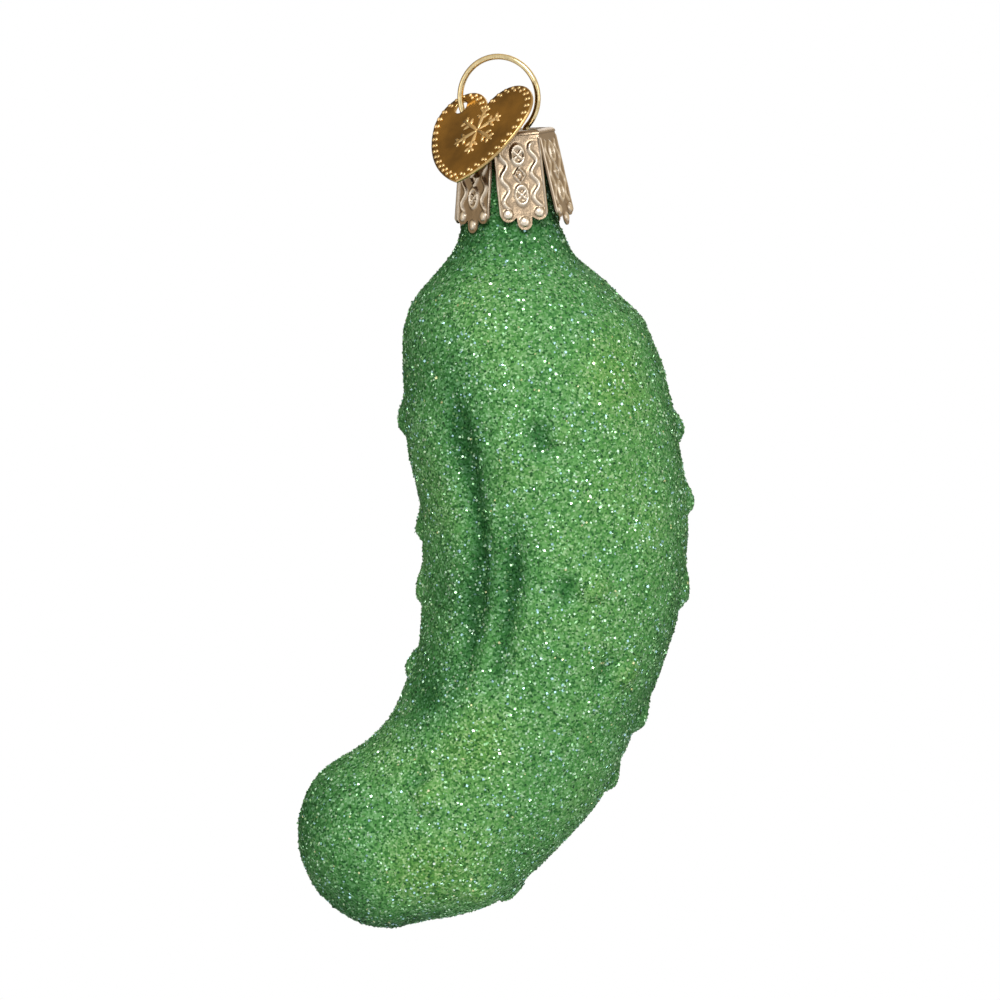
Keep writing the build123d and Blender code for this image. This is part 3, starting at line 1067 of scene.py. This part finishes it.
def dome(u, v, radius):
    """A round boss, 1 at its middle and 0 at its foot."""
    return np.sqrt(np.clip(1 - (u * u + v * v) / radius ** 2, 0.0, 1.0))


def flap_bottom(u):
    """How far down a flap reaches at a place across it: two side lobes and a longer middle one."""
    away = np.abs(u)
    side = FLAP_LENGTH - SIDE_LOBE_R
    side = side + np.sqrt(np.clip(SIDE_LOBE_R ** 2 - (away - SIDE_LOBE_PITCH) ** 2, 0.0, None))
    side = np.where(away < SIDE_LOBE_PITCH, np.maximum(side, FLAP_LENGTH - LOBE_NOTCH), side)
    middle = FLAP_LENGTH + MID_LOBE_DROP - MID_LOBE_R
    middle = middle + np.sqrt(np.clip(MID_LOBE_R ** 2 - u ** 2, 0.0, None))
    return np.where(away < MID_LOBE_R, middle, side)


def flap_relief(u, v, half):
    """Stamped ornament of one flap, from 0 to about 1: rim, vines, rosettes, lozenge and beads."""
    marks = [RIM_HEIGHT * ridge(half - np.abs(u) - RIM_INSET, RIM_WIDTH) * smooth_step(v, *RIM_START)]
    for side, start in VINE_STARTS:
        wave = 2 * pi * (v + start) / VINE_PERIOD
        vine = side * (VINE_ACROSS + VINE_SWING * np.sin(wave))
        slope = VINE_SWING * 2 * pi / VINE_PERIOD * np.cos(wave)
        marks.append(between(v, *FIELD) * ridge((u - vine) / np.hypot(1.0, slope), VINE_WIDTH))
    for rosette in ROSETTES:
        down = v - rosette
        oval = np.hypot(u / ROSETTE_OVAL[0], down / ROSETTE_OVAL[1])
        marks.append(ridge(oval - 1.0, ROSETTE_LINE))
        marks.append(BOSS_HEIGHT * dome(u, down, ROSETTE_LINE))
        for turn in np.radians(PETAL_TURNS):
            along = u * cos(turn) + down * sin(turn) - PETAL_OUT
            across = down * cos(turn) - u * sin(turn)
            marks.append(PETAL_HEIGHT * dome(along / PETAL_SHAPE[0], across / PETAL_SHAPE[1], PETAL_R))
    down = v - LOZENGE_DOWN
    lozenge = np.abs(u) / LOZENGE_SIZE[0] + np.abs(down) / LOZENGE_SIZE[1]
    marks.append(LOZENGE_HEIGHT * ridge(lozenge - LOZENGE_RING, LOZENGE_LINE))
    marks.append(SEED_HEIGHT * dome(u, down / SEED_LENGTH, SEED_R))
    for bead_u, bead_v in LOBE_BEADS:
        marks.append(LOBE_BEAD_HEIGHT * dome(u - bead_u, v - bead_v, LOBE_BEAD_R))
    return np.max(marks, axis=0)


def flap_grid(flare):
    """Rows of the outside of one flap and its fold on the +X side, in millimetres: x, place across, z,
    the normal's x and z, place down the flap (below 0 on the fold) and half width."""
    turn = radians(flare)
    slope = tan(pi / len(FLAP_FLARES))
    across = np.linspace(-1.0, 1.0, FLAP_COLUMNS)
    flat = np.zeros(FLAP_COLUMNS)

    def row(x, z, angle, v):
        """One row of the sheet, at an angle of its normal."""
        half = flat + np.minimum(CAP_SIDE / 2, (x - SLIT) * slope)
        return flat + x, half * across, flat + z, flat + cos(angle), flat + sin(angle), flat + v, half

    rows = []
    for angle in np.linspace(pi / 2, turn, FOLD_ROWS):
        rows.append(row(CAP_FLAT + CAP_BEND_R * cos(angle), CAP_BEND_R * (sin(angle) - 1), angle, -1.0))
    hinge_x = CAP_FLAT + CAP_BEND_R * cos(turn)
    hinge_z = CAP_BEND_R * (sin(turn) - 1)
    for share in np.linspace(0.0, 1.0, FLAP_ROWS)[1:]:
        v = share * flap_bottom(CAP_SIDE / 2 * across)
        rows.append(row(hinge_x + v * sin(turn), hinge_z - v * cos(turn), turn, v))
    return np.array(rows).transpose(1, 0, 2)


class ORNAMENT_OT_cap(bpy.types.Operator):
    """Stamp the cap: six-sided top and six scalloped flaps"""

    bl_idname = "ornament.cap"
    bl_label = "Cap"

    def execute(self, context):
        settings = context.scene.ornament.cap
        sheets = [self.flap(index, settings.relief / MM) for index in range(len(FLAP_FLARES))]
        points, faces, relief = joined([*sheets, self.top()])
        turn = np.array(Matrix.Rotation(radians(FRONT + CAP_TURN), 3, "Z"))
        placed = points @ turn.T + (CAP_SHIFT, 0.0, CAP_TOP / MM)
        cap = new_piece("stamped_cap", placed * MM, faces, cap_material(settings), crease=45.0)
        store(cap, "relief", relief)
        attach(cap, "hanger")
        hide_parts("cap")
        return {"FINISHED"}

    def flap(self, index, height):
        """Points, faces and relief of one flap, a closed sheet stamped on its outside."""
        x, u, z, normal_x, normal_z, v, half = flap_grid(FLAP_FLARES[index])
        stamped = np.where(v > 0, flap_relief(u, v, half), 0.0)
        sheet = np.stack([x, u, z], axis=-1)
        normal = np.stack([normal_x, np.zeros_like(x), normal_z], axis=-1)
        places = np.stack([u, v, np.full_like(u, DENTS_APART * index)], axis=-1)
        rise = height * (stamped - 0.5) * (v > 0) + DENT * noise_at(places, DENT_SIZE)
        outside = sheet + normal * rise[..., None]
        inside = sheet - normal * SHEET
        turn = np.array(Matrix.Rotation(index * 2 * pi / len(FLAP_FLARES), 3, "Z"))
        points = np.concatenate([outside.reshape(-1, 3), inside.reshape(-1, 3)]) @ turn.T
        rows, columns = u.shape
        size = rows * columns
        faces = []
        for start in range(0, size - columns, columns):
            faces += [face[::-1] for face in band_faces(start, start + columns, columns, closed=False)]
            faces += band_faces(size + start, size + start + columns, columns, closed=False)
        index_at = np.arange(size).reshape(rows, columns)
        sides = [index_at[0, :-1], index_at[:-1, -1], index_at[-1, :0:-1], index_at[:0:-1, 0]]
        border = np.concatenate(sides).tolist()
        faces += [(a, b, b + size, a + size) for a, b in zip(border, border[1:] + border[:1])]
        rubbed = np.concatenate([np.clip(stamped, 0.0, 1.0).ravel(), np.full(size, INSIDE_RUBBED)])
        return points, faces, rubbed

    def top(self):
        """Points, faces and relief of the six-sided top with its two wire holes, a little crowned."""
        sides = len(FLAP_FLARES)
        corner_r = CAP_FLAT / cos(pi / sides)
        corners = circle((0.0, 0.0), corner_r, sides) @ np.array(Matrix.Rotation(pi / sides, 2)).T
        outline = []
        for a, b in zip(corners, np.roll(corners, -1, axis=0)):
            outline += [a + (b - a) * step / SIDE_STEPS for step in range(SIDE_STEPS)]
        steps = TOP_STEP * np.arange(-TOP_STEPS, TOP_STEPS + 1)
        spots = np.array([(x, y) for x in steps for y in steps])
        clear = np.linalg.norm(spots, axis=1) < CAP_FLAT - TOP_EDGE_CLEAR
        back = radians(-LOOP_TURN - FRONT - CAP_TURN)
        holes = []
        for side in (1, -1):
            hole = circle((side * LEG_X * cos(back), side * LEG_X * sin(back)), WIRE_HOLE_R, HOLE_STEPS)
            gap = np.linalg.norm(spots[:, None] - hole[None], axis=2).min(axis=1)
            clear &= (gap > TOP_HOLE_CLEAR) & ~inside_outline(spots, hole)
            holes.append(hole)
        flat, triangles = plate_triangles([np.array(outline), *holes], spots[clear])
        away = np.linalg.norm(flat, axis=1)
        crown = -CAP_CROWN * between(away, (1.0, CAP_FLAT), (CAP_FLAT, corner_r))
        points, faces = closed_plate(flat, triangles, crown, np.full(len(flat), -SHEET))
        return points, faces, np.full(len(points), TOP_RUBBED)


# Heart tag

def arc_through(a, b, c, count):
    """Points of the arc from a through b to c, without its last point."""
    a, b, c = np.array(a), np.array(b), np.array(c)
    middle = np.linalg.solve(2 * np.array([b - a, c - a]), [b @ b - a @ a, c @ c - a @ a])
    start, through, end = [atan2(*(p - middle)[::-1]) for p in (a, b, c)]
    span = (end - start) % (2 * pi)
    if (through - start) % (2 * pi) > span:
        span -= 2 * pi
    turn = start + span * np.linspace(0.0, 1.0, count, endpoint=False)
    radius = np.linalg.norm(a - middle)
    return middle + radius * np.column_stack([np.cos(turn), np.sin(turn)])


def heart_outline(count):
    """Outline of the heart, anticlockwise from its tip, with this many points on each arc."""
    shoulder = (TAG_WIDTH / 2, TAG_SHOULDER)
    notch = (0.0, TAG_NOTCH)
    side = arc_through((0.0, 0.0), TAG_SIDE_BOW, shoulder, count)
    lobe = arc_through(shoulder, (TAG_PEAK, TAG_HEIGHT), notch, count)
    right = np.concatenate([side, lobe, [notch]])
    left = right[1:-1][::-1] * (-1.0, 1.0)
    return np.concatenate([right, left])


def edge_distance(points, outline):
    """Distance from points to an outline."""
    steps = np.roll(outline, -1, axis=0) - outline
    nearest = np.full(len(points), np.inf)
    for start, step in zip(outline, steps):
        share = np.clip(((points - start) @ step) / (step @ step), 0.0, 1.0)
        gap = np.linalg.norm(points - start - share[:, None] * step, axis=1)
        nearest = np.minimum(nearest, gap)
    return nearest


def inset_points(outline, inset, pitch, start=0.0):
    """Points spaced along a line drawn inside the outline at this inset."""
    steps = np.roll(outline, -1, axis=0) - np.roll(outline, 1, axis=0)
    inward = unit(np.column_stack([-steps[:, 1], steps[:, 0]]))
    line = outline + inset * inward
    line = line[edge_distance(line, outline) > inset - SLACK]
    lengths = np.linalg.norm(np.diff(line, axis=0), axis=1)
    along = np.concatenate([[0.0], np.cumsum(lengths)])
    count = int(along[-1] / pitch)
    at = (np.arange(count) + start) * along[-1] / count
    return np.column_stack([np.interp(at, along, line[:, axis]) for axis in (0, 1)])


def unit_ball():
    """Points and faces of a fine round ball of radius 1."""
    made = bmesh.new()
    bmesh.ops.create_icosphere(made, subdivisions=3, radius=1.0)
    points = np.array([v.co for v in made.verts])
    faces = [tuple(v.index for v in face.verts) for face in made.faces]
    made.free()
    return points, faces


def star_strokes():
    """Strokes of a six-armed frost star: middle, half length, half width and direction."""
    strokes = []
    for arm in range(STAR_ARMS):
        turn = pi / 2 + arm * 2 * pi / STAR_ARMS
        outward = np.array([cos(turn), sin(turn)])
        strokes.append((STAR_R * STAR_ARM[0] * outward, STAR_R * STAR_ARM[1], STAR_ARM_WIDTH, turn))
        for share, length in STAR_TWIGS:
            for side in (-1, 1):
                lean = turn + side * pi / 3
                away = length * STAR_TWIG_OUT * np.array([cos(lean), sin(lean)])
                strokes.append((STAR_R * share * outward + away, length, STAR_TWIG_WIDTH, lean))
    return strokes


class ORNAMENT_OT_tag(bpy.types.Operator):
    """Press the heart tag with its beaded border"""

    bl_idname = "ornament.tag"
    bl_label = "Heart tag"

    def execute(self, context):
        settings = context.scene.ornament.tag
        ball, ball_faces = unit_ball()
        bead = settings.bead_width / MM / 2
        lumps = []
        for inset, start in BEAD_ROWS:
            for x, y in inset_points(heart_outline(FINE_ARC), inset, BEAD_PITCH, start):
                if np.hypot(x - TAG_HOLE[0], y - TAG_HOLE[1]) > TAG_HOLE_R + BEAD_CLEAR:
                    lumps.append(ball * (bead, bead, BEAD_RISE * bead) + (x, y, TAG_SHEET / 2))
        for middle, half_length, half_width, turn in star_strokes():
            spin = np.array(Matrix.Rotation(turn, 3, "Z"))
            stroke = (ball * (half_length, half_width, STAR_RISE)) @ spin.T
            lumps.append(stroke + (*(middle + STAR_MIDDLE), TAG_SHEET / 2))
        parts = [(lump, ball_faces, np.ones(len(ball))) for lump in lumps]
        points, faces, raised = joined([self.plate(), *parts])
        placed = self.place(points)
        tag = new_piece("heart_tag_plate", placed, faces, gold_material(settings), crease=50.0)
        store(tag, "raised", raised)
        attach(tag, "tag")
        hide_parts("heart_tag")
        return {"FINISHED"}

    def plate(self):
        """Flat heart with rounded edges and the hole for the loop."""
        outline = heart_outline(COARSE_ARC)
        hole = circle(TAG_HOLE, TAG_HOLE_R, TAG_HOLE_STEPS)
        insets = TAG_EDGE_R * (1 - np.cos(np.radians(TAG_EDGE_ANGLES)))
        inner = [inset_points(heart_outline(FINE_ARC), inset, TAG_EDGE_PITCH) for inset in insets]
        inner += [circle(TAG_HOLE, TAG_HOLE_R + inset, TAG_HOLE_STEPS) for inset in insets]
        columns = range(-TAG_COLUMNS, TAG_COLUMNS + 1)
        spots = TAG_STEP * np.array([(i, j) for i in columns for j in range(TAG_ROWS)])
        clear = inside_outline(spots, outline) & (edge_distance(spots, outline) > TAG_CLEAR)
        clear &= np.linalg.norm(spots - TAG_HOLE, axis=1) > TAG_HOLE_R + TAG_CLEAR
        inner.append(spots[clear])
        flat, triangles = plate_triangles([outline, hole], np.concatenate(inner))
        hole_gap = np.linalg.norm(flat - TAG_HOLE, axis=1) - TAG_HOLE_R
        gap = np.clip(np.minimum(edge_distance(flat, outline), hole_gap), 0.0, TAG_EDGE_R)
        rise = TAG_SHEET / 2 - TAG_EDGE_R
        rise = rise + np.sqrt(np.clip(TAG_EDGE_R ** 2 - (TAG_EDGE_R - gap) ** 2, 0.0, None))
        points, faces = closed_plate(flat, triangles, rise, -rise)
        return points, faces, EDGE_RUBBED * (np.abs(points[:, 2]) < TAG_SHEET / 2 - 2 * SLACK)

    def place(self, points):
        """Puts points of the tag, in millimetres from its tip, where the frame holds the tag."""
        total = Vector()
        for face in frame["nodes"]["heart_tag"].data.polygons:
            if face.normal.z > 0 and face.normal.y < 0:
                total += face.area * face.normal
        normal = total.normalized()
        level = -Vector(TAG_LIFT["axis"])
        level = (level - level.dot(normal) * normal).normalized()
        uphill = normal.cross(level)
        right = level * cos(radians(TAG_ROLL)) + uphill * sin(radians(TAG_ROLL))
        axes = np.array([right, normal.cross(right), normal])
        return ((points - (*TAG_HOLE, 0.0)) * MM) @ axes + np.array(TAG_LIFT["pos_m"])


class ORNAMENT_OT_wire(bpy.types.Operator):
    """Give the hanger wire its drawn gold finish"""

    bl_idname = "ornament.wire"
    bl_label = "Hanger wire"

    def execute(self, context):
        wire = frame["nodes"]["hanger_wire"]
        wire.data.materials.clear()
        wire.data.materials.append(wire_material(context.scene.ornament.fittings))
        return {"FINISHED"}


# Stage

def seen_by_eye(tree):
    """1 for what the camera sees directly, in polished metal or through glass, and 0 for dull light."""
    rays = tree.nodes.new("ShaderNodeLightPath")
    seen = rays.outputs["Is Camera Ray"]
    for name in ("Is Glossy Ray", "Is Transmission Ray"):
        seen = worked_out(tree, "MAXIMUM", seen, rays.outputs[name], kind="Math", output="Value")
    return seen


def white_room(ambient):
    """A world that is white to the eye, in metal and through glass, and lights dull surfaces softly."""
    world = bpy.data.worlds.new("white room")
    bpy.context.scene.world = world
    world.use_nodes = True
    tree = world.node_tree
    strength = value_range(tree, seen_by_eye(tree), ambient, 1.0)
    fill(tree, tree.nodes["Background"], Color=WHITE, Strength=strength)


def floor_material():
    """Pale matt floor with a faint unevenness."""
    material, tree, shader = new_material("pale floor")
    cloud = noise_value(tree, 0.2, 2.0)
    fill(
        tree, shader,
        Base_Color=colour_ramp(tree, cloud, (0.2, (0.86, 0.86, 0.86)), (0.8, (0.9, 0.9, 0.9))),
        Roughness=value_range(tree, cloud, 0.7, 0.85),
        Emission_Color=WHITE,
        Emission_Strength=value_range(tree, seen_by_eye(tree), 0.0, FLOOR_GLOW))
    return material


def card_material():
    """Warm grey card with a faint cloudiness, evenly lit and darker behind the ornament."""
    material, tree, shader = new_material("grey card")
    cloud = noise_value(tree, 0.8, 1.0)
    tone = colour_ramp(tree, cloud, (0.3, (0.80, 0.68, 0.51)), (0.7, (1.0, 0.87, 0.67)))
    slant = worked_out(tree, "DOT_PRODUCT", object_place(tree), (-0.4, 1.0, 0.0), output="Value")
    behind = value_range(tree, slant, 1.0, 0.26)
    fill(tree, behind.node, From_Min=0.85, From_Max=1.3)
    fill(
        tree, shader,
        Base_Color=BLACK,
        Specular_IOR_Level=0.0,
        Emission_Color=mixed_colour(tree, tone, behind),
        Emission_Strength=1.0)
    return material


def grey_card(aim):
    """A wide bowl behind the ornament that only polished surfaces see, so that their edges go dark."""
    points = []
    for lean in np.radians(np.linspace(*CARD_SPAN, CARD_ROWS)):
        for x, z in circle((0.0, 0.0), sin(lean), CARD_AROUND):
            points.append((x, cos(lean), z))
    points.append((0.0, 1.0, 0.0))
    faces = shell_faces(CARD_ROWS, CARD_AROUND, 0, CARD_ROWS * CARD_AROUND)
    card = new_piece("grey_card", CARD_R * np.array(points) + np.array(aim), faces, card_material())
    for kind in ("camera", "diffuse", "transmission", "volume_scatter", "shadow"):
        setattr(card, "visible_" + kind, False)


def soft_lamp(name, place, aim, size, power):
    """A square soft lamp at a place from the aim, which it points at."""
    lamp = bpy.data.lights.new(name, "AREA")
    lamp.shape = "SQUARE"
    lamp.size = size
    lamp.energy = power
    holder = bpy.data.objects.new(name, lamp)
    holder.location = aim + Vector(place)
    holder.rotation_euler = (-Vector(place)).to_track_quat("-Z", "Y").to_euler()
    bpy.context.scene.collection.objects.link(holder)


class ORNAMENT_OT_stage(bpy.types.Operator):
    """Set up the floor, lamps and camera"""

    bl_idname = "ornament.stage"
    bl_label = "Stage"

    def execute(self, context):
        settings = context.scene.ornament.stage
        white_room(settings.ambient)
        rim = [(x, y, settings.floor_z) for x, y in circle((0.0, 0.0), FLOOR_R, FLOOR_SIDES)]
        floor = new_piece("floor", rim, [tuple(range(len(rim)))], floor_material())
        aim = Vector(settings.aim)
        grey_card(aim)
        soft_lamp("key", KEY_PLACE, aim, LAMP_SIZE, settings.key_power)
        for name, place, size, share in FILL_LAMPS:
            soft_lamp(name, place, aim, size, share * settings.fill_power)
        self.camera(context.scene, settings, aim)
        context.scene.view_settings.view_transform = "Standard"
        return {"FINISHED"}

    def camera(self, scene, settings, aim):
        """The camera at the photograph's angle, for a square picture."""
        lens = bpy.data.cameras.new("camera")
        lens.lens = settings.lens
        distance = settings.frame_width * settings.lens / lens.sensor_width
        tilt = Matrix.Rotation(pi / 2 - settings.elevation, 4, "X")
        roll = Matrix.Rotation(-settings.roll, 4, "Z")
        holder = bpy.data.objects.new("camera", lens)
        holder.matrix_world = Matrix.Translation(aim) @ tilt @ roll @ Matrix.Translation((0.0, 0.0, distance))
        scene.collection.objects.link(holder)
        scene.camera = holder


class ORNAMENT_PT_panel(bpy.types.Panel):
    """Lists the pieces of the ornament and the stage"""

    bl_idname = "ORNAMENT_PT_panel"
    bl_label = "Pickle Ornament"
    bl_space_type = "VIEW_3D"
    bl_region_type = "UI"
    bl_category = "Ornament"

    def draw(self, context):
        for piece in PIECES:
            self.layout.operator(piece.bl_idname)


PIECES = (
    ORNAMENT_OT_glass,
    ORNAMENT_OT_skin,
    ORNAMENT_OT_flakes,
    ORNAMENT_OT_cap,
    ORNAMENT_OT_tag,
    ORNAMENT_OT_wire,
    ORNAMENT_OT_stage,
)
GROUPS = (SkinSettings, FlakeSettings, CapSettings, TagSettings, FittingSettings, StageSettings)
CLASSES = (*GROUPS, OrnamentSettings, *PIECES, ORNAMENT_PT_panel)


def register():
    """Makes the settings, operators and panel known to Blender."""
    for made in CLASSES:
        bpy.utils.register_class(made)
    bpy.types.Scene.ornament = PointerProperty(type=OrnamentSettings)


def unregister():
    """Takes them away again."""
    del bpy.types.Scene.ornament
    for made in reversed(CLASSES):
        bpy.utils.unregister_class(made)


def main():
    """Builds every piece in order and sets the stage."""
    register()
    bpy.ops.ornament.glass()
    bpy.ops.ornament.skin()
    bpy.ops.ornament.flakes()
    bpy.ops.ornament.cap()
    bpy.ops.ornament.tag()
    bpy.ops.ornament.wire()
    bpy.ops.ornament.stage()


if __name__ == "__main__":
    main()
